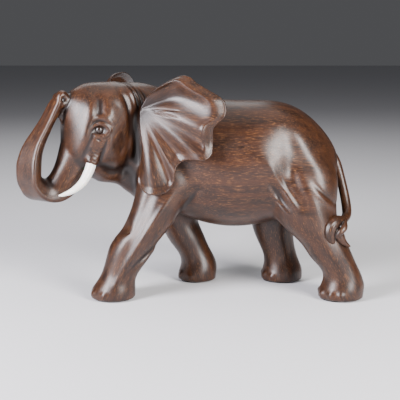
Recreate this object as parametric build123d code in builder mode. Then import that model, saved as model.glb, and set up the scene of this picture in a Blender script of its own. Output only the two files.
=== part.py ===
from build123d import *

import os
from math import cos, radians, sin

# Carved wooden elephant, walking with its head turned to its left and its trunk raised.
#
# Millimetres, +Z up. The elephant looks along -X and its left flank faces -Y. The blank is glued up from
# a torso, a head, a trunk and four leg blocks, pinned with dowels on flat glue faces, and is then carved
# as one form, so each of these pieces is the part of the carved form that lies in its own block. The
# ears, the tusks and the tail have pegs of their own, and the eyes are beads set in round sockets.

# Driving dimensions ---------------------------------------------------------------------------------
PAD_THICKNESS = 1.2
FOOT_OFFSET = 31.0  # from the middle of the body to the middle of a foot
HEAD_YAW = radians(25)  # the head is turned to the elephant's left
NECK_PIVOT_X = -30.0
TRUNK_ROLL = 32.0  # degrees: the flat underside of the trunk is rolled out to the left
TRUNK_ROLL_SECTIONS = 5  # over this many sections from the trunk's root
LEG_JOINT = 57.0  # height of the glue faces at the tops of the leg blocks, just below the belly

DOWEL_RADIUS = 4.0
LEG_DOWEL_LENGTH = 26.0
NECK_DOWEL_LENGTH = 34.0
NECK_DOWEL_HEIGHTS = (122.0, 150.0)
TRUNK_DOWEL_RADIUS = 3.0
TRUNK_DOWEL_LENGTH = 20.0

EAR_THICKNESS = 3.4
EAR_TENON_RADIUS = 4.0
EAR_TENON_LENGTH = 12.0
TUSK_PEG_RADIUS = 3.0
EYE_RADIUS = 3.1
SIDES = {"left": 1, "right": -1}
TAIL_TENON_RADIUS = 2.6

FORWARD = Vector(-cos(HEAD_YAW), -sin(HEAD_YAW), 0)  # the way the head looks
LEFT = Vector(sin(HEAD_YAW), -cos(HEAD_YAW), 0)  # the left side of the head
UP = Vector(0, 0, 1)


def head_point(ahead, left, height):
    """A point given in the turned head's own directions, measured from the neck pivot."""
    return Vector(NECK_PIVOT_X, 0, height) + FORWARD * ahead + LEFT * left


# Sections of the carved form ------------------------------------------------------------------------
# Torso: x, top, bottom, half width.
TORSO = [
    (-54, 168, 104, 22),
    (-44, 174, 90, 30),
    (-28, 175, 78, 37),
    (0, 173, 65, 44),
    (28, 172, 59, 47.5),
    (52, 172.5, 60, 48),
    (74, 170, 65, 46.5),
    (92, 162, 72, 42),
    (107, 150, 80, 35),
    (118, 137, 89, 25),
    (125, 124, 100, 13),
]
# Legs, from the sole up: height, middle x, half length, half width, and how far in from the foot's line.
FRONT_LEFT = [
    (PAD_THICKNESS, -71, 16.5, 15.5, 0),
    (4, -70.6, 18.6, 17.5, 0),
    (10, -69, 17.6, 17, 0),
    (18, -66, 15.4, 14.8, 0),
    (32, -59.5, 16.6, 15, 0),
    (46, -52.5, 19.5, 16.5, 0),
    (60, -42.5, 20, 17.5, 0),
    (78, -32, 21.5, 18, 1),
    (98, -24, 25, 18, 3),
    (120, -18, 25, 16, 6),
    (142, -14, 18, 10, 9),
]
FRONT_RIGHT = [
    (PAD_THICKNESS, 0, 13.5, 14.5, 0),
    (5, 1.5, 16.2, 16.5, 0),
    (13, 4.2, 16.4, 16, 0),
    (22, 2.8, 15.2, 14.5, 0),
    (34, -4, 16, 15, 0),
    (48, -11, 17, 16.5, 0),
    (62, -17, 19, 17.5, 0),
    (80, -20, 23, 18, 1),
    (100, -19, 25, 18, 3),
    (120, -16, 24, 16, 6),
    (142, -12, 18, 10, 9),
]
REAR_LEFT = [
    (PAD_THICKNESS, 125.5, 16.5, 15.5, 0),
    (5, 126.8, 18.4, 17.5, 0),
    (11, 128.8, 18.2, 17, 0),
    (19, 128.8, 16, 15, 0),
    (30, 122.8, 15.6, 14.6, 0),
    (44, 114.5, 18.2, 16.5, 0),
    (58, 105, 21.5, 18, 0),
    (76, 95, 27, 20, 1),
    (98, 94, 29.5, 21, 3),
    (120, 91, 27, 18, 7),
    (144, 86, 18, 10, 11),
]
REAR_RIGHT = [
    (PAD_THICKNESS, 80, 16.5, 15.5, 0),
    (6, 81.5, 18.4, 17.5, 0),
    (13, 82, 17, 16.5, 0),
    (24, 80, 15, 15, 0),
    (38, 75.5, 16.4, 16, 0),
    (52, 73, 19, 17.5, 0),
    (68, 76, 23.5, 19, 0),
    (86, 82, 28, 21, 2),
    (104, 86, 29, 20, 4),
    (124, 87, 25, 16, 8),
    (144, 84, 17, 10, 11),
]
LEGS = {
    "front_left": (FRONT_LEFT, -FOOT_OFFSET),
    "front_right": (FRONT_RIGHT, FOOT_OFFSET),
    "rear_left": (REAR_LEFT, -FOOT_OFFSET),
    "rear_right": (REAR_RIGHT, FOOT_OFFSET),
}
# Head, from the jaw up: height, middle ahead of the neck pivot, half length, half width.
HEAD = [
    (102, 51, 7, 6),
    (108, 52, 14, 12),
    (118, 57, 25, 20),
    (132, 59, 29.5, 27),
    (147, 57, 31, 30),
    (161, 54, 32, 29),
    (173, 51, 28, 24),
    (181, 51, 19, 16),
    (184.5, 51, 9, 8),
]
# Trunk, along its path: ahead of the neck pivot, height, half width, half thickness, radius of the ridges
# beside its flat underside.
TRUNK = [
    (64, 152, 21, 19, 10),
    (72, 136, 19, 16.5, 9),
    (79, 121, 15.5, 14.5, 7),
    (86.5, 108, 13.6, 12.4, 4.5),
    (97, 98.5, 12.8, 10.6, 2.4),
    (108.5, 98.5, 12.2, 9.4, 1.8),
    (116, 107.5, 11.8, 8.8, 1.6),
    (115.8, 120, 11.2, 8.2, 1.5),
    (113.3, 133, 10.2, 7.2, 1.4),
    (107, 146, 9.2, 6, 1.3),
    (100.5, 158, 8, 5.2, 1.2),
    (95.5, 167, 7.4, 5.2, 1.2),
    (93, 172, 7, 4.6, 1.2),
]
TRUNK_TIP = (91.5, 172)  # middle of the round finger at the tip: ahead, height
TRUNK_TIP_RADIUS = 5.2
TRUNK_TIP_HALF_WIDTH = 6.5
# Tusk, from the peg's end out: ahead, left, height, radius.
TUSK = [
    (69, 18.6, 121.5, 4.4),
    (72.5, 20.5, 113, 4.3),
    (78.5, 22.5, 105.5, 3.9),
    (87, 23.5, 99.5, 3.1),
    (97.5, 23, 96, 1.6),
]
TUSK_PEG_TOP = (62.5, 16.5, 133.5)
SHEATH = [(60, 15.5, 143, 5.5), (64.5, 17, 131, 6.6), (69, 18.6, 121.5, 6.2)]
EYE = (64.5, 26.2, 148.5)
# Tail, from the root down: x, y, z, radius.
TAIL = [
    (122.5, -1, 130, 4.2),
    (128.5, -3, 116, 3.9),
    (132.5, -8, 102, 3.8),
    (135, -15, 88, 3.8),
    (134.5, -24, 78, 3.8),
    (128.5, -34, 73, 4),
    (120, -42, 71, 5.2),
    (114.5, -45.5, 63, 5.4),
    (118, -45.5, 53, 2),
]
TAIL_ROOT = Vector(123, -1.2, 127)
TAIL_TENON = Vector(12, 0, -4)
# Ear outline about its root: angle below the rearward direction in degrees, radius. The tops of the two ears
# differ and their lobes are alike.
EAR_TOPS = {
    "left": [(-58, 10), (-45, 30), (-38, 45), (-24, 55)],
    "right": [(-96, 13), (-76, 24), (-48, 36), (-28, 49)],
}
EAR_LOBES = [
    (-8, 73),
    (3, 74.5),
    (9, 68),
    (20, 68.5),
    (29, 72.5),
    (36, 69),
    (46, 57.5),
    (53, 57),
    (61, 65.5),
    (69, 72),
    (77, 72),
    (86, 67.5),
    (92, 59),
]
EAR_FOLDS = [(-34, 41), (-4, 71), (27, 70), (48, 53), (76, 67)]  # folds that fan out: angle, length
EAR_FOLD_RADIUS = 3.4
EAR_ROOTS = {"left": (30, 27.5, 164), "right": (35, 27, 164)}  # ahead, left or right, height
EAR_TENON = (27, 31, 161)  # outer end of the ear's tenon: ahead, left, height
EAR_FLARES = {"left": radians(42), "right": radians(52)}  # between an ear and the side of the head

# Neck: ahead of the neck pivot, share of the head's yaw, top, bottom, half width.
NECK = [
    (-22, 0, 175, 80, 37),
    (-4, 0.4, 177, 87, 35),
    (14, 0.9, 179, 92, 32.5),
    (32, 1, 182, 101, 29),
    (48, 1, 182, 110, 25),
]
# Glue planes in front of the neck pivot: each goes through two points, (ahead, height).
NECK_JOINT = ((34, 88), (14, 178))
TRUNK_JOINT = ((56, 102), (98, 126))
TRUNK_DOWEL_MIDDLE = (80.5, 0, 116)


def form_along_x(sections):
    """A loft through upright ellipses: the torso."""
    with BuildPart() as form:
        for x, top, bottom, half_width in sections:
            with BuildSketch(Plane.YZ.offset(x)):
                with Locations((0, (top + bottom) / 2)):
                    Ellipse(half_width, (top - bottom) / 2)
        loft()
    return form.part


def form_of_leg(sections, foot_y):
    """A loft through level ellipses, from the sole up into the shoulder or the haunch."""
    inward = -1 if foot_y > 0 else 1
    with BuildPart() as form:
        for height, x, half_length, half_width, inset in sections:
            with BuildSketch(Plane.XY.offset(height)):
                with Locations((x, foot_y + inward * inset)):
                    Ellipse(half_length, half_width)
        loft()
    return form.part


def form_of_head():
    """A loft through level ellipses in the turned head's directions, from the jaw to the crown."""
    with BuildPart() as form:
        for height, ahead, half_length, half_width in HEAD:
            with BuildSketch(Plane(head_point(ahead, 0, height), x_dir=-FORWARD, z_dir=UP)):
                Ellipse(half_length, half_width)
        loft()
    return form.part


def path_planes(points, across):
    """Planes square to a path at each of its points, with their x direction along `across`."""
    planes = []
    for i, point in enumerate(points):
        before = points[max(i - 1, 0)]
        after = points[min(i + 1, len(points) - 1)]
        along = (after - before).normalized()
        side = (across - along * across.dot(along)).normalized()
        planes.append(Plane(point, x_dir=side, z_dir=along))
    return planes


def head_path(sections, sign):
    """The points and the radii of a rod on one side of the head. sign is 1 on the left, -1 on the right."""
    points = [head_point(ahead, sign * left, height) for ahead, left, height, _ in sections]
    return points, [radius for *_, radius in sections]


def form_of_trunk():
    """A loft through D-shaped sections square to the trunk's path: a flat underside and a round back."""
    points = [head_point(ahead, 0, height) for ahead, height, *_ in TRUNK]
    rolls = [TRUNK_ROLL * min(i / TRUNK_ROLL_SECTIONS, 1) for i in range(len(points))]
    with BuildPart() as form:
        for plane, roll, section in zip(path_planes(points, LEFT), rolls, TRUNK):
            _, _, half_width, half_thickness, ridge = section
            side = half_width - ridge
            base = ridge - half_thickness  # height at which the ridges end and the round back starts
            with BuildSketch(plane.rotated((0, 0, roll))):
                with BuildLine():
                    CenterArc((-side, base), ridge, 180, 90)
                    Line((-side, -half_thickness), (side, -half_thickness))
                    CenterArc((side, base), ridge, 270, 90)
                    EllipticalCenterArc((0, base), half_width, half_thickness - base, 0, arc_size=180)
                make_face()
        loft()
    return form.part


def form_of_trunk_tip():
    """The round finger that curls over at the trunk's tip, with its axis across the head."""
    ahead, height = TRUNK_TIP
    with BuildPart() as form:
        with BuildSketch(Plane(head_point(ahead, 0, height), x_dir=FORWARD, z_dir=LEFT)):
            Circle(TRUNK_TIP_RADIUS)
        extrude(amount=TRUNK_TIP_HALF_WIDTH, both=True)
        fillet(form.edges(), TRUNK_TIP_RADIUS / 3)
    return form.part


def form_of_rod(points, radii, across=UP):
    """A loft through circles square to a path: tusk, tusk sheath and tail."""
    with BuildPart() as form:
        for plane, radius in zip(path_planes(points, across), radii):
            with BuildSketch(plane):
                Circle(radius)
        loft()
    return form.part


def peg(start, end, radius):
    """A round peg from start to end."""
    with BuildPart() as made:
        with BuildSketch(Plane(start, z_dir=end - start)):
            Circle(radius)
        extrude(amount=(end - start).length)
    return made.part


def ear_plane(side, name):
    """The plane of an ear, with its origin at the ear's root, x rearward and y up."""
    flare = EAR_FLARES[name]
    ahead, left, height = EAR_ROOTS[name]
    rearward = FORWARD * -cos(flare) + LEFT * (side * sin(flare))
    return Plane(head_point(ahead, side * left, height), x_dir=rearward, z_dir=rearward.cross(UP))


def ear_blank(side, name):
    """An ear: a plate with a scalloped edge and the round backs of its folds fanning out on it."""
    plane = ear_plane(side, name)
    edge = EAR_TOPS[name] + EAR_LOBES
    outline = [(reach * cos(radians(angle)), -reach * sin(radians(angle))) for angle, reach in edge]
    with BuildPart() as made:
        with BuildSketch(plane):
            with BuildLine():
                rim = Spline(*outline)
                Polyline(rim @ 1, (0, 0), rim @ 0)
            make_face()
        extrude(amount=EAR_THICKNESS / 2, both=True)
        for angle, length in EAR_FOLDS:
            tip = plane.from_local_coords((length * cos(radians(angle)), -length * sin(radians(angle)), 0))
            add(form_of_rod([plane.origin, tip], [1, EAR_FOLD_RADIUS]))
    return made.part


def plane_through(lower, upper):
    """A plane across the head through two (ahead, height) points, facing away from the torso."""
    start = head_point(lower[0], 0, lower[1])
    rise = head_point(upper[0], 0, upper[1]) - start
    return Plane(start, x_dir=LEFT, z_dir=rise.cross(LEFT) * -1)


def form_of_neck():
    """A loft through upright ellipses that turn from the torso's direction to the head's."""
    with BuildPart() as form:
        for ahead, share, top, bottom, half_width in NECK:
            turn = HEAD_YAW * share
            along = Vector(-cos(turn), -sin(turn), 0)
            bend = Vector(-cos(turn / 2), -sin(turn / 2), 0)
            middle = Vector(NECK_PIVOT_X, 0, (top + bottom) / 2) + bend * ahead
            with BuildSketch(Plane(middle, x_dir=along.cross(UP), z_dir=along)):
                Ellipse(half_width, (top - bottom) / 2)
        loft()
    return form.part


def neck_joint_ahead(height):
    """How far in front of the neck pivot the neck's glue face is at a height."""
    (ahead_low, low), (ahead_high, high) = NECK_JOINT
    return ahead_low + (ahead_high - ahead_low) * (height - low) / (high - low)


def fused(shapes):
    """One solid made of several overlapping forms."""
    with BuildPart() as made:
        for shape in shapes:
            add(shape)
    return made.part


# The whole carved form, before it is divided into its blocks -----------------------------------------
leg_forms = {name: form_of_leg(sections, foot_y) for name, (sections, foot_y) in LEGS.items()}
trunk_form = fused([form_of_trunk(), form_of_trunk_tip()])
sheaths = [form_of_rod(*head_path(SHEATH, sign), FORWARD) for sign in SIDES.values()]
neck_and_head = [form_of_neck(), form_of_head()]
figure = fused([form_along_x(TORSO), *leg_forms.values(), *neck_and_head, trunk_form, *sheaths])

# Dowels ----------------------------------------------------------------------------------------------
neck_joint = plane_through(*NECK_JOINT)
trunk_joint = plane_through(*TRUNK_JOINT)


def section_at(sections, height):
    """The middle x of a leg at a height, between the two sections around it."""
    for (low, x_low, *_), (high, x_high, *_) in zip(sections, sections[1:]):
        if height <= high:
            return x_low + (x_high - x_low) * (height - low) / (high - low)


def dowels(middles, direction, radius, length):
    """A group of equal dowels, each a separate solid."""
    with BuildPart() as group:
        for middle in middles:
            with BuildSketch(Plane(middle, z_dir=direction)):
                Circle(radius)
            extrude(amount=length / 2, both=True)
    return group.part


leg_dowel_middles = [Vector(section_at(leg, LEG_JOINT), foot_y, LEG_JOINT) for leg, foot_y in LEGS.values()]
neck_dowel_middles = [head_point(neck_joint_ahead(height), 0, height) for height in NECK_DOWEL_HEIGHTS]
trunk_dowel_middles = [head_point(*TRUNK_DOWEL_MIDDLE)]
trunk_dowel_axis = trunk_joint.z_dir
dowel_groups = {
    "leg_dowels": dowels(leg_dowel_middles, UP, DOWEL_RADIUS, LEG_DOWEL_LENGTH),
    "neck_dowels": dowels(neck_dowel_middles, FORWARD, DOWEL_RADIUS, NECK_DOWEL_LENGTH),
    "trunk_dowel": dowels(trunk_dowel_middles, trunk_dowel_axis, TRUNK_DOWEL_RADIUS, TRUNK_DOWEL_LENGTH),
}

# The carved blocks -----------------------------------------------------------------------------------
pieces = {}

for name, leg_form in leg_forms.items():
    with BuildPart() as leg:
        add(leg_form)
        split(bisect_by=Plane.XY.offset(LEG_JOINT), keep=Keep.BOTTOM)
        add(dowel_groups["leg_dowels"], mode=Mode.SUBTRACT)
    pieces[f"leg_{name}"] = leg.part

with BuildPart() as trunk_root:
    add(trunk_form)
    split(bisect_by=trunk_joint, keep=Keep.BOTTOM)
raised_trunk = trunk_root.solids().sort_by(Axis(head_point(0, 0, 0), FORWARD))[-1]

with BuildPart() as trunk:
    add(trunk_form)
    split(bisect_by=trunk_joint, keep=Keep.TOP)
    add(raised_trunk)
    add(dowel_groups["trunk_dowel"], mode=Mode.SUBTRACT)
pieces["trunk"] = trunk.part

with BuildPart() as torso:
    add(figure)
    split(bisect_by=neck_joint, keep=Keep.BOTTOM)
    for name in LEGS:
        add(pieces[f"leg_{name}"], mode=Mode.SUBTRACT)
    for group in dowel_groups.values():
        add(group, mode=Mode.SUBTRACT)

with BuildPart() as head:
    add(figure)
    split(bisect_by=neck_joint, keep=Keep.TOP)
    add(pieces["trunk"], mode=Mode.SUBTRACT)
    for name in LEGS:
        add(pieces[f"leg_{name}"], mode=Mode.SUBTRACT)
    for group in dowel_groups.values():
        add(group, mode=Mode.SUBTRACT)

# What is set into the blocks -------------------------------------------------------------------------
sockets = []
for side, sign in SIDES.items():
    with BuildPart() as ear:
        add(ear_blank(sign, side))
        add(figure, mode=Mode.SUBTRACT)
    blade = ear.solids().sort_by(SortBy.VOLUME)[-1]
    tenon_root = head_point(EAR_TENON[0], sign * EAR_TENON[1], EAR_TENON[2])
    tenon = peg(tenon_root - LEFT * (sign * EAR_TENON_LENGTH), tenon_root, EAR_TENON_RADIUS)
    with BuildPart() as ear_piece:
        add(blade)
        add(tenon)
    pieces[f"ear_{side}"] = ear_piece.part

    path, radii = head_path(TUSK, sign)
    peg_top = head_point(TUSK_PEG_TOP[0], sign * TUSK_PEG_TOP[1], TUSK_PEG_TOP[2])
    tusk_peg = peg(peg_top, path[0], TUSK_PEG_RADIUS)
    with BuildPart() as tusk:
        add(form_of_rod(path, radii, FORWARD))
        add(figure, mode=Mode.SUBTRACT)
        add(tusk_peg)
    pieces[f"tusk_{side}"] = tusk.part

    eye_middle = head_point(EYE[0], sign * EYE[1], EYE[2])
    with BuildPart() as eye:
        with BuildSketch(Plane(eye_middle, x_dir=UP, z_dir=FORWARD)):
            with BuildLine():
                Line((-EYE_RADIUS, 0), (EYE_RADIUS, 0))
                RadiusArc((-EYE_RADIUS, 0), (EYE_RADIUS, 0), EYE_RADIUS)
            make_face()
        revolve(axis=Axis(eye_middle, UP))
    pieces[f"eye_{side}"] = eye.part
    sockets += [tenon, tusk_peg, eye.part]

tail_tenon = peg(TAIL_ROOT - TAIL_TENON, TAIL_ROOT, TAIL_TENON_RADIUS)
with BuildPart() as tail:
    add(form_of_rod([Vector(x, y, z) for x, y, z, _ in TAIL], [radius for *_, radius in TAIL]))
    add(figure, mode=Mode.SUBTRACT)
    add(tail_tenon)
pieces["tail"] = tail.part

for name, (sections, foot_y) in LEGS.items():
    _, x, half_length, half_width, _ = sections[0]
    with BuildPart() as pad:
        with BuildSketch(Plane.XY):
            with Locations((x, foot_y)):
                Ellipse(half_length, half_width)
        extrude(amount=PAD_THICKNESS)
    pieces[f"foot_pad_{name}"] = pad.part

# Sockets, and the pieces that have them --------------------------------------------------------------
with BuildPart() as socketed_head:
    add(head.solids().sort_by(SortBy.VOLUME)[-1])
    for socket in sockets:
        add(socket, mode=Mode.SUBTRACT)
pieces["head"] = socketed_head.part

with BuildPart() as socketed_torso:
    add(torso.part)
    add(tail_tenon, mode=Mode.SUBTRACT)
pieces["torso"] = socketed_torso.part
pieces.update(dowel_groups)

# The origin goes under the middle of the whole figure -------------------------------------------------
whole = Compound(children=[piece.moved(Location()) for piece in pieces.values()]).bounding_box()
to_origin = Location(-Vector(whole.center().X, whole.center().Y, whole.min.Z))
print("size", whole.size)

os.makedirs("parts", exist_ok=True)
for name, piece in pieces.items():
    with BuildPart() as placed:
        add(piece.moved(to_origin))
    placed.part.label = name
    export_step(placed.part, f"parts/{name}.step")
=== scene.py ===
from math import cos, pi, radians, sin

import bmesh
import bpy
import numpy as np
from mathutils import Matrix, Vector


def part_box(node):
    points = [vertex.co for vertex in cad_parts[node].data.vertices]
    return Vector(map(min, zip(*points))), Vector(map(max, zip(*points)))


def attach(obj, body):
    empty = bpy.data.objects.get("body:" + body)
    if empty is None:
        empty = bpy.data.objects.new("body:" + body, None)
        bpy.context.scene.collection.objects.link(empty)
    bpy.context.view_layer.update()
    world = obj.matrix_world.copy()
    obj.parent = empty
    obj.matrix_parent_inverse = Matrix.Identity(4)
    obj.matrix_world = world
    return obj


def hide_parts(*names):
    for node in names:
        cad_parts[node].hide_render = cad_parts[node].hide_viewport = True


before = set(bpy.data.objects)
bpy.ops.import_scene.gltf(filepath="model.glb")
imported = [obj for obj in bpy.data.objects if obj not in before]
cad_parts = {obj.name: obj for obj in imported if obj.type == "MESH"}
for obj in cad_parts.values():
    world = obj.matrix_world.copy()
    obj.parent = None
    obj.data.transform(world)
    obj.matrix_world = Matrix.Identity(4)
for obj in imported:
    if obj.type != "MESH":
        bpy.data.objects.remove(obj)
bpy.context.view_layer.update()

import openvdb
from mathutils import Vector

# The carved elephant. The carving is done like clay: the CAD blocks are turned into one field of distances
# to the surface, their creases are filled, muscles, folds and wrinkles are pushed in and out along strokes,
# and the skin of the field is then cut at the glue faces into the separate blocks again.
#
# Sculpting is in millimetres, in the figure's own directions: x backwards, y to the elephant's right, z up,
# with the origin between the left and right feet. Head places are (ahead, left, height) from the neck pivot.

MM = 0.001
STEP = 0.7  # size of a cell of the clay
BAND = 13.0  # distances are known this far from the surface
WHOLE = (slice(None),) * 3

HEAD_YAW = radians(25)
NECK_PIVOT_X = -30.0
FRONT_FOOT = np.array([-71.0, -31.0, 0.6])  # middle of the left front foot's pad in the figure's directions


def node_box(node):
    """A CAD node's lowest and highest corners, in millimetres of the frame."""
    low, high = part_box(node)
    return np.array(low) / MM, np.array(high) / MM


FIGURE_ORIGIN = sum(node_box("foot_pad_front_left")) / 2 - FRONT_FOOT
FORWARD = np.array([-cos(HEAD_YAW), -sin(HEAD_YAW), 0])
LEFT = np.array([sin(HEAD_YAW), -cos(HEAD_YAW), 0])
UP = np.array([0.0, 0.0, 1.0])
SOLE, LEG_SEAM = (corner[2] for corner in node_box("leg_front_left"))


def head_point(ahead, left, height):
    """A figure place given in the turned head's directions."""
    return np.array([NECK_PIVOT_X, 0, height]) + FORWARD * ahead + LEFT * left


def across_of(name):
    """1 for what is on the elephant's left and -1 for what is on its right."""
    return 1 if "left" in name else -1


def to_frame(points):
    """Figure places in millimetres as places in the frame, in metres."""
    return (np.asarray(points) + FIGURE_ORIGIN) * MM


def smooth_path(points, count):
    """A Catmull-Rom curve through rows of numbers, as count rows evenly spaced between them."""
    rows = np.array(points, float)
    padded = np.vstack([2 * rows[0] - rows[1], rows, 2 * rows[-1] - rows[-2]])
    places = np.linspace(0, len(rows) - 1, count)
    spans = np.minimum(places.astype(int), len(rows) - 2)
    t = (places - spans)[:, None]
    a, b, c, d = (padded[spans + i] for i in range(4))
    return 0.5 * (2 * b + (c - a) * t + (2 * a - 5 * b + 4 * c - d) * t**2 + (3 * b - a - 3 * c + d) * t**3)


# Clay ----------------------------------------
class Clay:
    """Distances in millimetres to a carved surface, negative inside, on a regular grid."""

    def __init__(self, low, high, step):
        self.step = step
        self.first = np.floor(np.array(low) / step).astype(int)
        self.shape = tuple(int(n) for n in np.ceil(np.array(high) / step).astype(int) - self.first + 1)
        self.transform = openvdb.createLinearTransform(voxelSize=step)
        lines = [(self.first[i] + np.arange(self.shape[i], dtype=np.float32)) * step for i in range(3)]
        self.x = lines[0].astype(np.float32)[:, None, None]
        self.y = lines[1].astype(np.float32)[None, :, None]
        self.z = lines[2].astype(np.float32)[None, None, :]
        self.values = np.full(self.shape, BAND, np.float32)

    def measure(self, points, triangles=None, quads=None):
        """The distances to a closed mesh."""
        faces = {"triangles": triangles, "quads": quads}
        faces = {kind: np.ascontiguousarray(f, np.uint32) for kind, f in faces.items() if f is not None}
        grid = openvdb.FloatGrid.createLevelSetFromPolygons(
            np.ascontiguousarray(points, np.float32), transform=self.transform,
            halfWidth=BAND / self.step, **faces
        )
        values = np.empty(self.shape, np.float32)
        grid.copyToArray(values, ijk=tuple(int(i) for i in self.first))
        return values

    def skin(self, values, level=0.0):
        """The points and quads of the surface where the distances equal a level."""
        grid = openvdb.FloatGrid(BAND)
        grid.copyFromArray(np.ascontiguousarray(values), ijk=tuple(int(i) for i in self.first))
        grid.transform = self.transform
        points, quads = grid.convertToQuads(isovalue=level)
        return points, quads

    def closed(self, values, radius):
        """The shape with every crease filled to a radius."""
        points, quads = self.skin(values, radius)
        return self.measure(points, quads=quads) + radius

    def blurred(self, values, width):
        """The distances averaged over a bell of a width in millimetres."""
        reach = max(1, int(np.ceil(2.5 * width / self.step)))
        bell = np.exp(-0.5 * (np.arange(-reach, reach + 1) * self.step / width) ** 2)
        bell = (bell / bell.sum()).astype(np.float32)
        for axis in range(3):
            padded = np.pad(values, [(reach, reach) if i == axis else (0, 0) for i in range(3)], mode="edge")
            values = 0
            for k, weight in enumerate(bell):
                window = [slice(k, k + self.shape[i]) if i == axis else slice(None) for i in range(3)]
                values = values + weight * padded[tuple(window)]
        return values

    def block(self, low, high):
        """The slices of the grid that lie in a box."""
        slices = []
        for i in range(3):
            first = max(0, int(np.floor(low[i] / self.step)) - int(self.first[i]))
            last = min(self.shape[i], int(np.ceil(high[i] / self.step)) - int(self.first[i]) + 1)
            slices.append(slice(first, max(first, last)))
        return tuple(slices)

    def places(self, block):
        """The coordinates of a block's cells."""
        return self.x[block[0]], self.y[:, block[1]], self.z[:, :, block[2]]

    def sample(self, values, points):
        """The field's value at points, between its cells."""
        at = points / self.step - self.first
        cell = np.clip(np.floor(at).astype(int), 0, np.array(self.shape) - 2)
        part = (at - cell).astype(np.float32)
        total = 0
        for corner in range(8):
            shift = [(corner >> i) & 1 for i in range(3)]
            weight = np.prod([part[:, i] if shift[i] else 1 - part[:, i] for i in range(3)], axis=0)
            total = total + weight * values[tuple(cell[:, i] + shift[i] for i in range(3))]
        return total

    def slopes(self, values, points):
        """Unit normals of the field at points."""
        reach = self.step
        normals = np.stack([
            self.sample(values, points + reach * axis) - self.sample(values, points - reach * axis)
            for axis in np.eye(3)
        ], axis=1)
        return normals / np.maximum(np.linalg.norm(normals, axis=1, keepdims=True), 1e-6)


def step_between(values, low, high):
    """0 below low, 1 above high and smooth between them."""
    t = np.clip((values - low) / (high - low), 0, 1)
    return t * t * (3 - 2 * t)


def bell(values, middle, width):
    """1 at the middle, fading smoothly over a width to both sides."""
    return np.exp(-(((values - middle) / width) ** 2))


def smooth_union(a, b, radius):
    """Two fields joined with a fillet."""
    h = np.clip(0.5 + 0.5 * (b - a) / radius, 0, 1)
    return b + (a - b) * h - radius * h * (1 - h)


def nearest(where, path):
    """The distance of places to a path, and what the path's extra columns are where it is nearest."""
    dims = len(where)
    best = None
    for start, end in zip(path, path[1:]):
        run = end[:dims] - start[:dims]
        t = sum((w - s) * r for w, s, r in zip(where, start, run)) / max(float(run @ run), 1e-9)
        t = np.clip(t, 0, 1)
        gap = sum((w - s - t * r) ** 2 for w, s, r in zip(where, start, run))
        extras = [s + t * (e - s) for s, e in zip(start[dims:], end[dims:])]
        if best is None:
            best = [gap, *extras]
        else:
            closer = gap < best[0]
            best = [np.where(closer, new, old) for new, old in zip([gap, *extras], best)]
    return [np.sqrt(best[0]), *best[1:]]


def head_places(clay, block):
    """How far ahead and left of the neck pivot the cells of a block are."""
    x, y, _ = clay.places(block)
    x = x - NECK_PIVOT_X
    return x * FORWARD[0] + y * FORWARD[1], x * LEFT[0] + y * LEFT[1]


def flank_stroke(clay, points, width, sides=(-1,)):
    """Pushes the clay out along a path of (x, z, height) seen from the side. sides: -1 left, 1 right."""
    path = smooth_path(points, 4 * len(points))
    low, high = path[:, :2].min(0) - 3 * width, path[:, :2].max(0) + 3 * width
    for side in sides:
        y_range = (-75, 0) if side < 0 else (0, 75)
        block = clay.block((low[0], y_range[0], low[1]), (high[0], y_range[1], high[1]))
        x, y, z = clay.places(block)
        gap, height = nearest((x[:, 0, :], z[0, 0, :][None, :]), path)
        push = height * bell(gap, 0, width)
        fade = step_between(side * y[0, :, 0], 0, 8)
        clay.values[block] -= (push[:, None, :] * fade[None, :, None]).astype(np.float32)


def head_stroke(clay, points, width, inner=2.0):
    """Pushes the clay out along a path of (ahead, height, push) on the sides of the head."""
    path = smooth_path(points, 4 * len(points))
    low, high = path[:, :2].min(0) - 3 * width, path[:, :2].max(0) + 3 * width
    for side in (1, -1):
        corners = [head_point(a, side * b, 0) for a in (low[0], high[0]) for b in (inner, 45)]
        block = clay.block((*np.min(corners, 0)[:2], low[1]), (*np.max(corners, 0)[:2], high[1]))
        ahead, left = head_places(clay, block)
        gap, height = nearest((ahead, clay.places(block)[2]), path)
        fade = step_between(side * left, inner, inner + 6)
        clay.values[block] -= (height * bell(gap, 0, width) * fade).astype(np.float32)


def add_rod(clay, points, fillet):
    """Joins a round rod through (x, y, z, radius) points to the clay."""
    path = smooth_path(points, 5 * len(points))
    reach = path[:, 3].max() + fillet + 2
    block = clay.block(path[:, :3].min(0) - reach, path[:, :3].max(0) + reach)
    gap, radius = nearest(clay.places(block), path)
    clay.values[block] = smooth_union(clay.values[block], (gap - radius).astype(np.float32), fillet)


def head_rows(rows, side=1):
    """Rod rows given as (ahead, left, height, radius), on one side of the head or the other."""
    return [(*head_point(a, side * b, z), r) for a, b, z, r in rows]


def add_head_rod(clay, rows, fillet, side=1):
    """Joins a rod given in the head's directions to the clay."""
    add_rod(clay, head_rows(rows, side), fillet)


def ball(clay, middle, axes, push):
    """Pushes the clay out by up to push around a place, fading over three half axes."""
    middle, axes = np.array(middle, float), np.array(axes, float)
    block = clay.block(middle - 3 * axes, middle + 3 * axes)
    gap = sum(((w - m) / a) ** 2 for w, m, a in zip(clay.places(block), middle, axes))
    clay.values[block] -= (push * np.exp(-gap)).astype(np.float32)


def node_mesh(node):
    """A CAD node's points in figure millimetres and its triangles."""
    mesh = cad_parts[node].data
    points = np.empty(len(mesh.vertices) * 3, np.float32)
    mesh.vertices.foreach_get("co", points)
    mesh.calc_loop_triangles()
    triangles = np.empty(len(mesh.loop_triangles) * 3, np.int32)
    mesh.loop_triangles.foreach_get("vertices", triangles)
    return points.reshape(-1, 3) / MM - FIGURE_ORIGIN, triangles.reshape(-1, 3)


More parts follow.
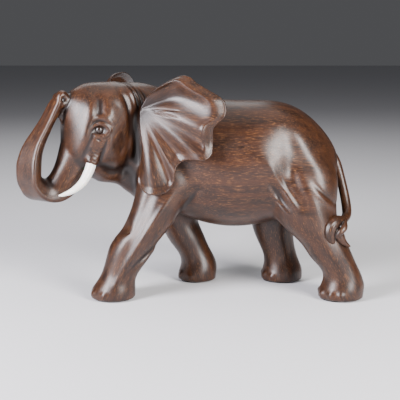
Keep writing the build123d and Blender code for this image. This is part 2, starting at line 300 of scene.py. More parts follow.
LEG_NAMES = ("front_left", "front_right", "rear_left", "rear_right")
BODY_NODES = ("torso", "head", "trunk", *(f"leg_{name}" for name in LEG_NAMES))


def rough_out():
    """The glued-up blank: all CAD blocks in one field, with their joints healed and their creases filled."""
    boxes = [node_box(node) for node in BODY_NODES]
    low = np.min([box[0] for box in boxes], axis=0) - FIGURE_ORIGIN - BAND
    high = np.max([box[1] for box in boxes], axis=0) - FIGURE_ORIGIN + BAND
    clay = Clay(low, high, STEP)
    union = None
    for node in BODY_NODES:
        points, triangles = node_mesh(node)
        distances = clay.measure(points, triangles=triangles)
        union = distances if union is None else np.minimum(union, distances)
    sole = int(round(6.0 / STEP)) - int(clay.first[2])
    union[:, :, :sole] = union[:, :, sole:sole + 1]  # the feet go on below the floor until they are trimmed
    fine = clay.closed(union, 2.0)
    filled = clay.closed(union, 9.0)
    ahead, _ = head_places(clay, WHOLE)
    front = step_between(ahead + 0 * clay.z, 22, 40) * step_between(clay.z, 70, 85)
    smooth = clay.blurred(filled, 2.2)
    hip = bell(clay.x, 94, 27) * bell(clay.z, 117, 19)
    shoulder = bell(clay.x, -22, 24) * bell(clay.z, 112, 18)
    share = (np.maximum(hip, shoulder) * step_between(np.abs(clay.y), 14, 26)).astype(np.float32)
    smooth += (clay.blurred(smooth, 5.0) - smooth) * share
    sharp = clay.blurred(fine, 0.9)
    clay.values = (smooth + (sharp - smooth) * front).astype(np.float32)
    return clay


BOTH = (-1, 1)
HAUNCH_FOLDS = [  # each a path of (x, z, height) and its width
    ([(60, 124, 0), (66, 113, 0.8), (73, 101, 1.4), (81, 89, 1.3), (88, 80, 0)], 3.0),
    ([(67, 119, 0), (73, 108, -0.4), (80, 97, -0.8), (87, 87, -0.7), (93, 78, 0)], 2.8),
    ([(61, 101, 0), (65, 94, 0.9), (72, 84, 1.2), (79, 76, 0.8), (85, 69, 0)], 2.1),
    ([(60, 110, 0), (66, 100, -0.7), (74, 89, -0.9), (82, 79, 0)], 2.4),
    ([(74, 126, 0), (80, 114, -0.9), (88, 98, -1.1), (96, 83, -0.7), (102, 70, 0)], 5.5),
    ([(74, 152, 0), (78, 140, -1.0), (80, 128, -1.2), (82, 116, -0.6), (84, 106, 0)], 9),
    ([(84, 116, 0), (92, 101, 0.8), (101, 85, 1.2), (111, 66, 0.6)], 6),
    ([(80, 152, 0), (88, 142, 1.1), (96, 129, 1.2), (104, 114, 1.0), (109, 101, 0.4)], 7),
    ([(44, 144, 0), (54, 131, 1.5), (60, 118, 1.6), (66, 103, 0.4)], 11),
    ([(98, 106, 0), (105, 98, -0.7), (112, 91, -1.0), (120, 84, -0.7)], 1.8),
    ([(97, 101, 0), (105, 93, 0.7), (112, 87, 0.8), (118, 81, 0)], 2.6),
]
LEFT_LEG_MUSCLES = [
    ([(-14, 98, 0), (-27, 80, 1.6), (-40, 60, 2.0), (-53, 39, 1.9), (-66, 16, 0.8)], 3.0),
    ([(-34, 96, -0.8), (-42, 77, -1.2), (-53, 54, -0.9), (-64, 30, 0)], 4.5),
    ([(-17, 66, 0), (-29, 52, -1.5), (-40, 41, -1.9), (-50, 32, -1), (-57, 24, 0)], 2.6),
    ([(-22, 58, 0), (-34, 43, 1.3), (-46, 30, 1.3), (-54, 20, 0)], 3.0),
    ([(106, 58, 0), (115, 45, 1.0), (123, 31, 1.0), (130, 18, 0)], 3.6),
    ([(92, 64, 0), (104, 47, -1.2), (113, 33, -1.2), (119, 22, 0)], 4.2),
]
SHOULDER_FOLDS = [
    ([(4, 97, -1.6), (-6, 84, -2.0), (-16, 72, -0.8)], 3.4),
    ([(-40, 122, 0), (-22, 112, 1.5), (-8, 98, 1.2), (-4, 88, 0)], 9),
]


def sculpt_body(clay):
    """Haunches, shoulders and leg muscles."""
    for path, width in HAUNCH_FOLDS + SHOULDER_FOLDS:
        flank_stroke(clay, path, width, BOTH)
    for path, width in LEFT_LEG_MUSCLES:
        flank_stroke(clay, path, width)


def correct_outline(clay):
    """Fuller legs, forehead and nape, and a back that is a little flatter."""
    legs = clay.block((-200, -80, -20), (200, 80, 100))
    clay.values[legs] -= (0.6 * step_between(-clay.places(legs)[2], -92, -70)).astype(np.float32)
    flank_stroke(clay, [(114, 66, 0), (124, 48, 1.8), (136, 30, 2.2), (144, 16, 0.4)], 8)
    ball(clay, (50, 0, 176), (40, 30, 14), -3.4)
    ball(clay, head_point(58, 0, 186), (26, 20, 14), 1.2)
    ball(clay, head_point(82, 0, 176), (13, 18, 13), 4.5)
    ball(clay, head_point(90, 0, 160), (8, 14, 9), 1.6)
    ball(clay, (-45, -8, 181), (21, 30, 13), 5.5)
    behind_jaw = [(35, 164, 0), (32, 152, -2.5), (30, 138, -3.5), (29, 124, -3), (30, 112, 0)]
    head_stroke(clay, behind_jaw, 4.5, inner=12)


TRUNK_SHIFTS = [  # height, the trunk's middle x, and how far its outer and inner sides move backwards
    (90, -124, 3.2, 0), (105, -133, 2.2, 0), (120, -135, 1.4, 0.8), (133, -132.6, 2.6, 1.4),
    (146, -127, 4.2, 1.6), (158, -121, 4.8, 1.6), (172, -115, 5.0, 1.6), (185, -112, 5.0, 1.6),
]


def trunk_gap(heights):
    """How far ahead the gap between the raised trunk and the forehead is at some heights."""
    return 104 - 0.27 * np.maximum(heights - 118, 0)


def shift_trunk(clay):
    """Brings the raised part of the trunk back towards the forehead, its outer side most."""
    block = clay.block((-170, -90, 86), (-90, 10, 190))
    old = clay.values[block].copy()
    x, y, z = clay.places(block)
    heights, *columns = np.array(TRUNK_SHIFTS).T
    middle, outer, inner = (np.interp(z, heights, column).astype(np.float32) for column in columns)
    shift = inner + (outer - inner) * np.clip((middle - x) / 14 + 0.5, 0, 1)
    ahead, _ = head_places(clay, block)
    shift = shift * step_between(ahead - trunk_gap(z), -3, 3) * step_between(z, 88, 100)
    count = old.shape[0]
    source = np.arange(count, dtype=np.float32)[:, None, None] - shift / clay.step
    low = np.clip(np.floor(source).astype(np.int32), 0, count - 2)
    part = np.clip(source - low, 0, 1)
    below = np.take_along_axis(old, low, axis=0)
    above = np.take_along_axis(old, low + 1, axis=0)
    clay.values[block] = (below + (above - below) * part).astype(np.float32)


FRONT_NAILS = (-71, -28, 28, 71)  # degrees from the front of the foot to its outer side
REAR_NAILS = (-57, -22, 22, 57, 84)
FEET = {  # each foot's middle, half widths and toenails
    "front_left": ((-70.6, -31), (18.2, 17.2), FRONT_NAILS),
    "front_right": ((1.8, 31), (16.2, 16.4), FRONT_NAILS),
    "rear_left": ((127, -31), (18.3, 17.3), REAR_NAILS),
    "rear_right": ((81.6, 31), (18.2, 17.3), REAR_NAILS),
}


def trim_soles(clay):
    """Flat soles with a rounded edge."""
    block = clay.block((-200, -80, -10), (200, 80, 14))
    values = clay.values[block]
    under = SOLE - clay.places(block)[2] + 0 * values
    clay.values[block] = -smooth_union(-values, -under, 1.8)


def sculpt_feet(clay):
    """Toenails, each a low dome in a shallow groove, on the fronts of the feet."""
    for name, ((x, y), (half_x, half_y), nails) in FEET.items():
        outer = across_of(name)
        ball(clay, (x, y, 8), (half_x, half_y, 6), 0.9)
        for angle in nails:
            turn = radians(angle)
            middle = (x - (half_x + 0.8) * cos(turn), y - outer * (half_y + 0.8) * sin(turn), 6.2)
            ball(clay, middle, (4.7, 4.7, 4.9), -1.8)
            ball(clay, middle, (3.3, 3.3, 3.4), 3.0)


HEAD_FOLDS = [  # each a path of (ahead, height, push), its width and how near to the middle it starts
    # ridges down from the forehead to the trunk, with the hollows behind them
    ([(63, 181, 0), (69, 173, 0.9), (71.5, 163, 1.5), (73.5, 152, 1.5), (78, 139, 1.2), (84, 127, 0.8),
      (91, 115, 0)], 4.6, 2),
    ([(63, 178, 0), (62.5, 169, -1.5), (64, 160, -1.3), (66, 156, -0.5)], 4.2, 2),
    ([(67, 156, -0.3), (69.5, 149, -1.0), (72, 140, -1.3), (75.5, 130, -1.0), (80, 120, 0)], 2.6, 2),
    ([(49, 168, 0), (55, 163, 1.2), (59, 159, 0.6)], 5.2, 2),
    # cheeks and jaw
    ([(53, 158, 0.3), (57, 149, 0.8), (57.5, 139, 1.4), (54, 129, 1.7), (45, 123, 1.9), (37, 130, 1.6),
      (34.5, 144, 1.2), (38, 157, 0.5)], 5.0, 2),
    ([(45, 152, 0), (44, 143, -0.8), (44, 135, -0.4)], 4.4, 2),
    ([(66, 119, 0), (58, 117, -2.6), (48, 112, -3.4), (37, 112, -2.4), (30, 116, 0)], 4.2, 6),
    ([(64, 111, 0), (57, 107, 1.0), (48, 103, 1.2), (40, 101, 0)], 3.0, 0),
    # the hollow in front of the ear
    ([(47, 183, 0), (41, 174, -1.2), (38, 164, -1.8), (37, 150, -1.2), (36, 138, 0)], 2.6, 14),
]


def sculpt_head(clay):
    """Forehead, temples, cheeks, jaw, brows and the folds of the neck."""
    for path, width, inner in HEAD_FOLDS:
        head_stroke(clay, path, width, inner=inner)
    for back, push in ((0, 1.4), (4.6, 1.2), (9.2, 1.0)):
        fold = [(39 - back, 187, 0), (34 - back, 180, push), (30.5 - back, 171, push), (30 - back, 163, 0)]
        head_stroke(clay, fold, 1.6, inner=9)
        head_stroke(clay, [(a - 2.3, z, -push) for a, z, push in fold], 1.3, inner=9)


def fill_throat(clay):
    """The soft throat that runs from the chin down to the chest."""
    throat = [(50, 0, 108.5, 6), (42, 0, 106.5, 7), (33, 0, 104, 9.5), (24, 0, 100, 12), (12, 0, 96, 16),
              (-4, 0, 96, 20)]
    add_head_rod(clay, throat, 7)
    lip = [(52, 0, 112, 6), (60, 0, 111, 5.6), (67, 0, 111.5, 4.4)]
    add_head_rod(clay, lip, 4)


def sculpt_sheaths(clay):
    """The wrinkled sleeves that the tusks come out of."""
    for side in (1, -1):
        sleeve = [(60.5, 17, 143, 4.0), (63.4, 18, 135, 5.4), (66.4, 19, 128, 5.9), (68.6, 19.6, 122.6, 6.0)]
        add_head_rod(clay, sleeve, 2.2, side)
        ball(clay, head_point(70.3, side * 20.2, 118.6), (4.2, 4.2, 4.2), -2.2)
    for i in range(8):
        a, z = 62.4 + 0.95 * i, 142.5 - 2.7 * i
        head_stroke(clay, [(a + 5, z + 2.2, 0), (a + 1, z, -1.1), (a - 5, z - 3.2, 0)], 0.8, inner=14)
    for i in range(4):
        a, z = 60.4 + 2.0 * i, 138 - 4.6 * i
        head_stroke(clay, [(a - 3, z + 2, 0), (a + 1, z - 1, -0.5), (a + 6, z - 5, 0)], 0.75, inner=14)
    head_stroke(clay, [(56.5, 147, 0), (59, 137, -1.6), (61.8, 127, -2.0), (64, 119, -1)], 1.8, inner=12)


EYE = (63.8, 26.6, 148.4)
EYE_RADIUS = 3.7
UPPER_LID = [(7.4, -1.0, 0.2), (4.8, 3.4, 1.4), (0, 5.1, 1.7), (-4.8, 3.4, 1.5), (-7.4, -0.6, 0.8)]
EYE_FOLDS = [  # each a path of (ahead of the eye, above it, push) and its width
    (UPPER_LID, 1.35),
    ([(6.8, -1.8, 0.2), (3.6, -4.6, 1.0), (-0.6, -5.6, 1.2), (-4.8, -4.2, 1.2), (-7.4, -0.6, 0.6)], 1.15),
    ([(a, z + 2.6, -0.8 if push > 1 else 0) for a, z, push in UPPER_LID], 0.9),
    ([(8, 6, 0), (4, 9.6, 0.7), (-1, 10.6, 1.0), (-7, 8, 0.7), (-12, 2, 0)], 1.8),
    ([(5, -6, 0), (0, -8, -0.7), (-7, -5.6, 0)], 1.1),
    ([(-5, 17, 0), (-6.4, 15.2, -0.7), (-7.4, 13, 0)], 0.8),
]


def sculpt_eyes(clay):
    """Eye sockets, lids and the creases above them."""
    ahead, left, height = EYE
    head_stroke(clay, [(ahead - 2, height, -1.6), (ahead + 3, height + 0.5, -2.0)], 6.0, inner=10)
    for path, width in EYE_FOLDS:
        head_stroke(clay, [(ahead + a, height + z, push) for a, z, push in path], width, inner=12)
    for side in (1, -1):
        ball(clay, head_point(ahead, side * left, height), (3.2, 3.2, 3.2), -2.4)


def sculpt_trunk(clay):
    """The flange behind the trunk's tip, the tip's finger and its nostrils."""
    web = [(87.6, 1, 150, 0.8), (88.8, 2, 155.5, 1.8), (90, 2.5, 161, 2.4), (92, 3, 166, 2.8)]
    add_head_rod(clay, web, 2)
    ball(clay, (-119, -52, 177), (5, 16, 5), -4)
    for side in (1, -1):
        turns = np.linspace(-2.0, 3.6, 10)
        scroll = [(88.8 + 3.7 * cos(turn), 6.0, 173.0 + 3.7 * sin(turn), 1.5) for turn in turns]
        add_head_rod(clay, scroll, 1.2, side)
        ball(clay, head_point(89.0, side * 7.2, 173.0), (2.8, 2.8, 2.8), -3.4)


# Pieces ----------------------------------------
def new_piece(name, points, faces, node, material):
    """A mesh piece at figure places, riding on the one body and standing for its CAD node."""
    mesh = bpy.data.meshes.new(name)
    mesh.from_pydata([tuple(p) for p in to_frame(points)], [], [tuple(f) for f in faces])
    mesh.update()
    piece = bpy.data.objects.new(name, mesh)
    bpy.context.scene.collection.objects.link(piece)
    mesh.materials.append(material)
    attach(piece, "root")
    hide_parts(node)
    return piece


def set_attribute(mesh, name, values):
    """Stores one vector or number for each point of a mesh."""
    values = np.asarray(values, np.float32)
    if values.ndim == 1:
        mesh.attributes.new(name, "FLOAT", "POINT").data.foreach_set("value", values)
    else:
        mesh.attributes.new(name, "FLOAT_VECTOR", "POINT").data.foreach_set("vector", values.ravel())


LIMBS = {  # a limb's lower and upper ends and the distance over which it takes over from the torso
    "front_left": ((-72, -31, 0), (-24, -30, 96)),
    "front_right": ((4, 31, 0), (-20, 30, 92)),
    "rear_left": ((130, -31, 10), (92, -30, 92)),
    "rear_right": ((82, 31, 0), (80, 30, 92)),
}
GRAIN_STRETCH = 13.0


HEAD_SLANT = (0.5, -0.866)  # the grain of the head runs down and forwards


def limb_grain(points, foot, top):
    """Grain coordinates along a leg, and how far points belong to it."""
    foot, top = np.array(foot, float), np.array(top, float)
    along = (top - foot) / np.linalg.norm(top - foot)
    own = points - foot
    run = own @ along
    side = np.cross(along, (0, 1, 0))
    near = step_between(-np.linalg.norm(own - np.outer(run, along), axis=1), -44, -30)
    share = near * step_between(-points[:, 2], -88, -66)
    return share, np.stack([run / GRAIN_STRETCH, own @ side, own[:, 1]], axis=1)


def head_grain(points):
    """Grain coordinates of the head and trunk, and how far points belong to them."""
    offset = points - np.array([NECK_PIVOT_X, 0, 0])
    ahead, left = offset @ FORWARD, offset @ LEFT
    run = ahead * HEAD_SLANT[0] + points[:, 2] * HEAD_SLANT[1]
    cross = points[:, 2] * HEAD_SLANT[0] - ahead * HEAD_SLANT[1]
    share = step_between(ahead, 26, 44) * step_between(points[:, 2], 74, 84)
    return share, np.stack([run / GRAIN_STRETCH, cross, left], axis=1)


def grain_of(points):
    """Two sets of grain coordinates for points, torso and limb, and how much of the second counts."""
    torso = points * np.array([1 / GRAIN_STRETCH, 1, 1])
    limb = torso.copy()
    share = np.zeros(len(points))
    grains = [limb_grain(points, foot, top) for foot, top in LIMBS.values()]
    for weight, coordinates in [*grains, head_grain(points)]:
        mine = weight > share
        limb[mine] = coordinates[mine]
        share = np.maximum(share, weight)
    return torso, limb, share


def set_wood_attributes(mesh, torso_grain, limb_grain, limb_share, shade_relief):
    """Stores what the wood's material needs to know at each point: its grain, and how deep it lies in a
    hollow for the painted shade.
    """
    set_attribute(mesh, "torso_grain", torso_grain)
    set_attribute(mesh, "limb_grain", limb_grain)
    set_attribute(mesh, "limb_share", limb_share)
    set_attribute(mesh, "shade_relief", shade_relief)


def plane_of(lower, upper):
    """A glue face through two (ahead, height) places: a point on it and its normal away from the torso."""
    start = head_point(lower[0], 0, lower[1])
    rise = head_point(upper[0], 0, upper[1]) - start
    normal = -np.cross(rise, LEFT)
    return start, normal / np.linalg.norm(normal)


NECK_FACE = plane_of((34, 88), (14, 178))
TRUNK_FACE = plane_of((56, 102), (98, 126))
TRUNK_START = 52  # no trunk is less far ahead than this
CUT_REACH = 4  # faces this near to a glue face are split along it


def block_of(middles):
    """Which block each face belongs to, as numbers into BODY_NODES."""
    offset = middles - np.array([NECK_PIVOT_X, 0, 0])
    ahead = offset @ FORWARD
    blocks = np.zeros(len(middles), int)
    blocks[(middles - NECK_FACE[0]) @ NECK_FACE[1] > 0] = 1
    beyond = (middles - TRUNK_FACE[0]) @ TRUNK_FACE[1] > 0
    raised = ahead > trunk_gap(middles[:, 2])
    blocks[(blocks == 1) & (beyond | raised) & (ahead > TRUNK_START)] = 2
    legs = middles[:, 2] < LEG_SEAM
    front = middles[:, 0] < 40
    left = middles[:, 1] < 0
    for number, chosen in enumerate((front & left, front & ~left, ~front & left, ~front & ~left)):
        blocks[legs & chosen] = 3 + number
    return blocks


def cut_skin(points, quads):
    """The skin with its faces split along the glue faces."""
    bm = bmesh.new()
    mesh = bpy.data.meshes.new("skin")
    mesh.from_pydata(points.tolist(), [], quads.tolist())
    bm.from_mesh(mesh)
    bpy.data.meshes.remove(mesh)

    def bisect(start, normal, keep):
        start, normal = Vector(start), Vector(normal)
        middles = ((f, f.calc_center_median()) for f in bm.faces)
        faces = [f for f, middle in middles if abs((middle - start).dot(normal)) < CUT_REACH and keep(middle)]
        corners = dict.fromkeys(v for f in faces for v in f.verts)
        edges = dict.fromkeys(e for f in faces for e in f.edges)
        geometry = [*corners, *edges, *faces]
        bmesh.ops.bisect_plane(bm, geom=geometry, dist=1e-4, plane_co=start, plane_no=normal)

    trunk_start = Vector(head_point(TRUNK_START, 0, 0))
    bisect((0, 0, LEG_SEAM), (0, 0, 1), lambda middle: True)
    bisect(*NECK_FACE, lambda middle: middle.z > LEG_SEAM)
    bisect(*TRUNK_FACE, lambda middle: (middle - trunk_start).dot(Vector(FORWARD)) > 0)
    bm.verts.index_update()
    points = np.array([v.co[:] for v in bm.verts])
    faces = [[v.index for v in f.verts] for f in bm.faces]
    bm.free()
    return points, faces


def facing_out(points, quads):
    """The quads with their normals turned outwards."""
    a, b, c = (points[quads[:, i]] for i in range(3))
    return quads if np.einsum("ij,ij->i", a, np.cross(b, c)).sum() > 0 else quads[:, ::-1]


def carved_blocks(clay, material):
    """Cuts the skin of the clay into the glued blocks, each closed by its flat glue faces."""
    points, quads = clay.skin(clay.values)
    quads = facing_out(points.astype(float), quads)
    for _ in range(2):  # settle the points on the surface
        normals = clay.slopes(clay.values, points)
        points = points - normals * clay.sample(clay.values, points)[:, None]
    points, faces = cut_skin(points, quads)
    soft = clay.blurred(clay.values, 0.7)
    wide = clay.blurred(clay.values, 3.2)
    normals = clay.slopes(soft, points)
    # How deep each point lies in a hollow or crease; the wood's material darkens the hollows from it as
    # painted shade.
    shade_relief = clay.sample(wide, points) - clay.sample(clay.values, points)
    grains = grain_of(points)
    blocks = block_of(np.array([points[f].mean(0) for f in faces]))
    for number, node in enumerate(BODY_NODES):
        own = [faces[i] for i in np.flatnonzero(blocks == number)]
        used = np.unique(np.concatenate([np.array(f) for f in own]))
        renumber = {int(old): new for new, old in enumerate(used)}
        own = [[renumber[i] for i in f] for f in own]
        mesh = new_piece(f"carved_{node}", points[used], own, node, material).data
        set_wood_attributes(mesh, *(grain[used] for grain in grains), shade_relief[used])
        close_glue_faces(mesh, normals[used])


def close_glue_faces(mesh, normals):
    """Caps a block's open loops and gives its skin the normals of the whole figure."""
    bm = bmesh.new()
    bm.from_mesh(mesh)
    skin_faces = len(bm.faces)
    edges = [e for e in bm.edges if e.is_boundary]
    caps = bmesh.ops.holes_fill(bm, edges=edges, sides=0)["faces"]
    for cap in caps:
        corner = cap.loops[0]
        if any(other.vert == corner.vert for other in corner.link_loops):
            cap.normal_flip()
    bm.to_mesh(mesh)
    bm.free()
    mesh.shade_smooth()
    loops = np.empty(len(mesh.loops), np.int32)
    mesh.loops.foreach_get("vertex_index", loops)
    loop_normals = normals[loops]
    for face in list(mesh.polygons)[skin_faces:]:
        loop_normals[face.loop_start:face.loop_start + face.loop_total] = face.normal
    mesh.normals_split_custom_set([tuple(n) for n in loop_normals])


EAR_FLARES = {"left": (42, 42), "right": (36, 68)}  # degrees out from the head, at the root and at the rim
EAR_ROOTS = {"left": (30, 27.5, 164), "right": (39, 27, 164)}
EAR_LOBES = [  # degrees below the rearward direction and millimetres from the root
    (-16, 62), (-8, 72), (-3, 74.5), (3, 74), (8, 69), (13, 66), (22, 68.5), (29, 72.5), (34, 71), (39, 64),
    (46, 57.5), (53, 57), (58, 61.5), (63, 68), (69, 72.5), (76, 72.5), (83, 70), (88, 66), (92, 60),
]
EAR_TOPS = {  # the top of the rim, given in the same way
    "left": [(-58, 11), (-54, 17), (-45, 31), (-38, 46), (-32, 51.5), (-24, 55)],
    "right": [(-106, 14), (-96, 20), (-80, 26.5), (-62, 32), (-48, 38), (-35, 44), (-25, 51)],
}
EAR_RIDGES = [  # degrees at the root and at the rim, height, half width in degrees
    (4, 17, 4.2, 7.0), (28, 36, 3.8, 6.0), (72, 79, 5.8, 8.5), (48, 47, -2.0, 7.0), (60, 65, -1.4, 3.0),
]
EAR_CREASE = (56, 58, 2.6, 9.0)  # a sharp fold, given in the same way
EAR_VEINS = [  # degrees at the root, how many more for each millimetre, and where the vein starts and ends
    (-3, 0.10, 14, 38), (3, 0.16, 12, 40), (1, 0.02, 10, 26), (9, 0.10, 12, 30),
]


def ear_lift(angle, radius, rim):
    """How far the ear's skin stands out from its plane: ridges, valleys, a scoop and a rolled rim."""
    share = radius / rim
    grown = step_between(radius, 11, 56)
    lift = 0
    for at_root, at_rim, height, width in EAR_RIDGES:
        spread = width * (1 + 0.9 * (1 - share))
        lift = lift + height * grown * bell(angle, at_root + (at_rim - at_root) * radius / 70, spread)
    at_root, at_rim, height, width = EAR_CREASE
    aside = np.abs(angle - at_root - (at_rim - at_root) * radius / 70) / width
    lift = lift + height * grown * np.clip(1 - np.sqrt(aside**2 + 0.006), 0, 1) - 3.0 * bell(radius, 0, 17)
    lift = lift - 6.0 * bell(angle, -21, 17) * bell(share, 0.5, 0.30)
    lift = lift + 3.2 * bell(angle, -24, 24) * bell(share, 0.86, 0.12)
    top = step_between(-angle, -8, 2)
    lift = lift - 5.5 * top * step_between(share, 0.84, 1.06)
    rear = bell(angle, 18, 9.5)
    lift = lift - 6.5 * rear * step_between(radius, rim - 6.5, rim - 0.5)
    lift = lift + 0.9 * rear * bell(radius, rim - 7, 1.6)
    lift = lift + 1.8 * bell(angle, 46, 10) * step_between(share, 0.84, 1)
    lift = lift - 3.4 * step_between(angle, 84, 93) * step_between(share, 0.1, 0.4)
    lift = lift + 2.2 * step_between(angle, 60, 68) * step_between(share, 0.9, 1)
    for start, turn, first, last in EAR_VEINS:
        gap = np.radians(angle - start - turn * radius) * radius
        shown = step_between(radius, first, first + 4) * step_between(-radius, -last, 8 - last)
        lift = lift - 0.55 * bell(gap, 0, 0.6) * shown
    return lift


def ear_columns(first, last):
    """The angles of the ear's columns, close together at its two free edges."""
    edge = np.array([0, 0.12, 0.3, 0.6, 1.0, 1.6, 2.4, 3.4, 4.8, 6.4, 8])
    middle = np.linspace(first + 9, last - 9, 240)
    return np.concatenate([first + edge, middle, (last - edge)[::-1]])


def ear_rows(columns, rims):
    """The ear's skin as rows of radius and lift, from the root over the front to the rim and back."""
    shares = np.linspace(0, 1, 76) ** 0.8
    angle, rim = columns[None, :], rims[None, :]
    free = np.minimum(angle - columns[0], columns[-1] - angle)

    def face(share, way):
        radius = share[:, None] * (rim - 1.2)
        edge = np.clip(np.radians(free) * radius / 1.3, 0, 1)
        thick = 2.2 + 2.8 * np.exp(-radius / 16)
        half = 0.5 * thick * np.sqrt(np.clip(1 - (1 - edge) ** 2, 0, 1))
        return radius, ear_lift(angle, radius, rim), half * way

    radius, lift, half = face(shares, 1)
    turns = np.radians((30, 60, 90, 120, 150))[:, None]
    back_radius, back_lift, back_half = face(shares[::-1], -1)
    tenon = 9 * np.exp(-((back_radius / 9) ** 2))
    radii = np.vstack([radius, radius[-1] + 1.2 * np.sin(turns), back_radius])
    lifts = np.vstack([lift + half, lift[-1] + half[-1] * np.cos(turns), back_lift + (back_half - tenon)])
    return radii, lifts


def ear_bend(side, run):
    """Where a run backwards along the ear's curved plane gets to, and the way out from it there."""
    across = across_of(side)
    ahead, left, height = EAR_ROOTS[side]
    runs = np.linspace(-30, 90, 241)
    at_root, at_rim = EAR_FLARES[side]
    flares = np.radians(at_root + (at_rim - at_root) * step_between(runs, 10, 60))[:, None]
    rearward = -np.cos(flares) * FORWARD + across * np.sin(flares) * LEFT
    outwards = np.sin(flares) * FORWARD + across * np.cos(flares) * LEFT
    spine = np.cumsum(rearward, axis=0) * (runs[1] - runs[0])
    spine += head_point(ahead, across * left, height) - spine[np.argmin(np.abs(runs))]

    def at_run(rows):
        return np.stack([np.interp(run, runs, column) for column in rows.T], axis=-1)

    return at_run(spine), at_run(outwards)


def weld(mesh):
    """Joins the points that lie on each other and turns the faces outwards."""
    bm = bmesh.new()
    bm.from_mesh(mesh)
    bmesh.ops.remove_doubles(bm, verts=bm.verts, dist=2e-6)
    bmesh.ops.dissolve_degenerate(bm, edges=bm.edges, dist=1e-7)
    bmesh.ops.recalc_face_normals(bm, faces=bm.faces)
    bm.to_mesh(mesh)
    bm.free()


def ear_piece(side, material):
    """A fan-like ear: a thin wavy plate of carved folds, its root set into the neck."""
    outline = smooth_path(EAR_TOPS[side] + EAR_LOBES, 600)
    columns = ear_columns(outline[0, 0], outline[-1, 0])
    radius, lift = ear_rows(columns, np.interp(columns, outline[:, 0], outline[:, 1]))
    wave = -4.5 * step_between(columns, 80, 92)[None, :] * bell(radius, 31, 15)
    turn = np.radians(columns[None, :] + wave)
    bent, outward = ear_bend(side, radius * np.cos(turn))
    points = bent - (radius * np.sin(turn))[..., None] * UP + lift[..., None] * outward
    corners = np.arange(radius.size).reshape(radius.shape)
    quads = np.stack([corners[:-1, :-1], corners[1:, :-1], corners[1:, 1:], corners[:-1, 1:]], axis=-1)
    quads = quads.reshape(-1, 4)[:, ::across_of(side)]
    name = f"carved_ear_{side}"
    mesh = new_piece(name, points.reshape(-1, 3), quads, f"ear_{side}", material).data
    grain = np.stack([radius / GRAIN_STRETCH, turn * 46, lift], axis=-1).reshape(-1, 3)
    # Painted shade: darker colour in the ear's valleys and in the pocket round its root.
    shade_relief = 0.06 * lift + 0.06 - 0.5 * np.exp(-((radius / 15) ** 2))
    set_wood_attributes(mesh, grain, grain, np.ones(len(grain)), shade_relief.ravel())
    weld(mesh)
    mesh.shade_smooth()


def wrapped(rings):
    """The points and faces of a skin over rings of equally many points, closed at both ends."""
    points = np.array(rings)
    corners = np.arange(points.shape[0] * points.shape[1]).reshape(points.shape[:2])
    following = np.roll(corners, -1, axis=1)
    quads = np.stack([corners[:-1], following[:-1], following[1:], corners[1:]], axis=-1)
    ends = [corners[0][::-1].tolist(), corners[-1].tolist()]
    return points.reshape(-1, 3), quads.reshape(-1, 4).tolist() + ends


def unit(rows):
    """Rows of numbers scaled to a length of one."""
    return rows / np.linalg.norm(rows, axis=1, keepdims=True)


def tube(path, sides):
    """A round tube's points and faces along (x, y, z, radius) rows, closed by domed ends."""
    path = np.asarray(path, float)
    runs = unit(np.gradient(path[:, :3], axis=0))
    across = np.cross(runs[0], (0.31, 0.2, 0.93))
    rings, turns = [], np.linspace(0, 2 * pi, sides, endpoint=False)

    def ring(middle, run, across, radius):
        other = np.cross(run, across)
        rings.append(middle + radius * (np.cos(turns)[:, None] * across + np.sin(turns)[:, None] * other))

    for i, (row, run) in enumerate(zip(path, runs)):
        across = across - run * (across @ run)
        across /= np.linalg.norm(across)
        if i == 0:
            for turn in np.radians((85, 65, 45, 25)):
                ring(row[:3] - run * row[3] * sin(turn), run, across, row[3] * cos(turn))
        ring(row[:3], run, across, row[3])
    for turn in np.radians((25, 45, 65, 85)):
        ring(row[:3] + run * row[3] * sin(turn), run, across, row[3] * cos(turn))
    return wrapped(rings)


TUSK = [(66, 18.4, 127, 4.0), (69, 19.2, 121, 4.2), (72.4, 20.5, 113.5, 4.0), (78.5, 22.6, 105.2, 3.5),
        (87, 23.6, 99.2, 2.6), (95, 23.4, 96.4, 1.5), (98.5, 23, 95.8, 0.7)]


def tusk_piece(side, material):
    """A smooth tapering tusk that leaves its sheath and sweeps forwards."""
    points, faces = tube(smooth_path(head_rows(TUSK, across_of(side)), 60), 40)
    piece = new_piece(f"shaped_tusk_{side}", points, faces, f"tusk_{side}", material)
    piece.data.shade_smooth()


def eye_piece(side, material):
    """A polished bead behind the lids."""
    across = across_of(side)
    middle = head_point(EYE[0], across * (EYE[1] - 2.0), EYE[2])
    bm = bmesh.new()
    bmesh.ops.create_uvsphere(bm, u_segments=40, v_segments=24, radius=EYE_RADIUS)
    points = [middle + np.array(v.co) for v in bm.verts]
    bm.verts.index_update()
    faces = [[v.index for v in f.verts] for f in bm.faces]
    bm.free()
    piece = new_piece(f"bead_{side}", points, faces, f"eye_{side}", material)
    piece.data.shade_smooth()


TAIL = [(119, -3, 124, 4.6), (124.5, -4, 115, 4.3), (128.6, -6, 102, 4.0), (131.6, -10, 88.5, 4.1),
        (133, -15.5, 77.8, 4.2), (132.4, -21.5, 71.8, 4.0), (129, -29, 69.2, 3.8), (124.5, -36, 69.2, 3.8)]
TUFT = [(127, -36.5, 69.5, 3.8), (121.5, -42, 70.2, 5.0), (116.4, -46, 67.2, 5.8), (114.4, -47.6, 61, 5.2),
        (116, -47.4, 55, 3.6), (119.8, -46.4, 50.6, 1.2)]
TUFT_LEAF = [(120.4, -43.5, 63, 4.4), (123, -45, 58, 4.6), (126.6, -45.2, 53, 3.0), (132, -44.4, 49, 0.9)]
TUFT_CURL = [(127.4, -41.5, 68.8, 2.6), (126.4, -46.6, 65.4, 3.0), (122.8, -49, 62, 2.6),
             (119.8, -48.8, 58, 1.5)]
TUFT_OUT = (-0.35, -0.93, 0.1)  # the way the tuft's strands face


